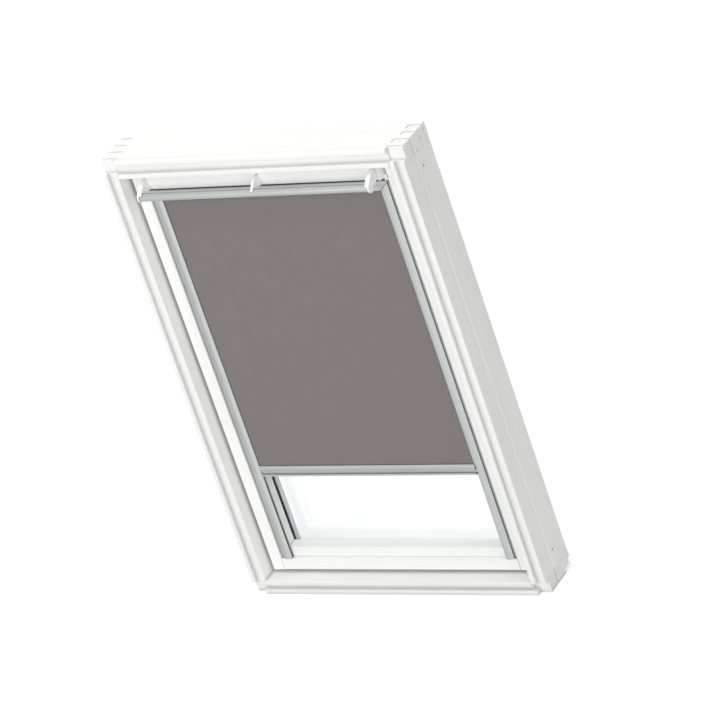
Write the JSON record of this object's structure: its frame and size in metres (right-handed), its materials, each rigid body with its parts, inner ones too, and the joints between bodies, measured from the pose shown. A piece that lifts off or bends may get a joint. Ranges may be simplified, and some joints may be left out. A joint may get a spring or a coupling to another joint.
{
  "type": "roof window with roller blind",
  "caption": "Centre-pivot roof window in a box-jointed white timber frame, with a top control bar and ventilation flap and a fitted roller blind in side channels.",
  "frame": {"origin": "on the underside of the sill, at the middle of the width, 36 mm behind the room face of the frame's lips", "axes": "+X to the right as seen from the room, +Y outwards through the window, +Z from the sill to the head"},
  "size_m": [0.66, 0.1429, 0.978],
  "materials": {
    "painted_timber": "white satin lacquer over the timber",
    "painted_sash": "white satin lacquer over the timber",
    "white_plastic": "smooth satin white",
    "anodised_aluminium": "fine satin anodising",
    "lacquered_aluminium": "matt dark grey lacquer",
    "zinc_steel": "bright zinc",
    "clear_glass": "clear, polished",
    "spacer_metal": "matt mill finish",
    "black_rubber": "matt",
    "grey_foam": "open felt",
    "taupe_cloth": "fine mottled weave"
  },
  "bodies": {
    "frame": {"frame_side_left": "painted_timber", "frame_side_right": "painted_timber", "frame_head": "painted_timber", "frame_sill": "painted_timber", "frame_cover_left": "lacquered_aluminium", "frame_cover_right": "lacquered_aluminium", "frame_cover_head": "lacquered_aluminium", "frame_cover_sill": "lacquered_aluminium", "frame_hinge_plate_left": "zinc_steel", "frame_hinge_plate_right": "zinc_steel", "pivot_pin_left": "zinc_steel", "pivot_pin_right": "zinc_steel", "striker_plate": "zinc_steel"},
    "sash": {"sash_stile_left": "painted_sash", "sash_stile_right": "painted_sash", "sash_top_rail": "painted_sash", "sash_bottom_rail": "painted_sash", "sash_hinge_plate_left": "zinc_steel", "sash_hinge_plate_right": "zinc_steel", "lock_case": "zinc_steel", "flap_hinge_rod": "zinc_steel", "roller_pin": "zinc_steel", "spring_shaft": "zinc_steel", "return_spring": "zinc_steel", "pivot_bush_left": "black_rubber", "pivot_bush_right": "black_rubber", "glazing_bed": "black_rubber", "edge_seal": "black_rubber", "sash_seal": "black_rubber", "vent_filter_left": "grey_foam", "vent_filter_right": "grey_foam", "pane_inner": "clear_glass", "pane_outer": "clear_glass", "pane_spacer": "spacer_metal", "sash_cover_left": "lacquered_aluminium", "sash_cover_right": "lacquered_aluminium", "sash_cover_bottom": "lacquered_aluminium", "sash_cover_top": "lacquered_aluminium", "flap_cheek_left": "white_plastic", "flap_cheek_right": "white_plastic", "blind_casing": "anodised_aluminium", "casing_corner_left": "anodised_aluminium", "casing_corner_right": "anodised_aluminium", "side_channel_left": "anodised_aluminium", "side_channel_right": "anodised_aluminium", "blind_cloth": "taupe_cloth"},
    "flap": {"ventilation_flap": "white_plastic", "flap_arm_left": "white_plastic", "flap_arm_centre": "white_plastic", "flap_arm_right": "white_plastic", "control_bar": "anodised_aluminium"},
    "latch": {"latch_tongue": "zinc_steel"},
    "bottom_bar": {"blind_bottom_bar": "anodised_aluminium", "bar_slider_left": "black_rubber", "bar_slider_right": "black_rubber"},
    "roller": {"roller_tube": "anodised_aluminium", "wound_cloth": "taupe_cloth", "tube_plug_left": "white_plastic", "tube_plug_right": "white_plastic"}
  },
  "joints": [
    {"name": "sash_pivot", "type": "hinge", "parent": "frame", "child": "sash", "pos_m": [0, 0.026, 0.486], "axis": [1, 0, 0], "range_deg": [0, 180]},
    {"name": "flap_hinge", "type": "hinge", "parent": "sash", "child": "flap", "pos_m": [0, -0.0125, 0.9092], "axis": [1, 0, 0], "range_deg": [0, 40]},
    {"name": "latch_slide", "type": "slide", "parent": "sash", "child": "latch", "axis": [0, 0, 1], "range_m": [-0.0046, 0]},
    {"name": "blind_slide", "type": "slide", "parent": "sash", "child": "bottom_bar", "axis": [0, 0, 1], "range_m": [-0.19, 0.599], "deforming": ["blind_cloth"]},
    {"name": "roller_spin", "type": "hinge", "parent": "sash", "child": "roller", "pos_m": [0, 0.0065, 0.8886], "axis": [1, 0, 0], "range_deg": [-5000, 1600]}
  ],
  "couplings": [
    {"joint": "roller_spin", "follows": "blind_slide", "rad_per_m": -135.13},
    {"joint": "latch_slide", "follows": "flap_hinge", "m_per_rad": -0.006588}
  ]
}
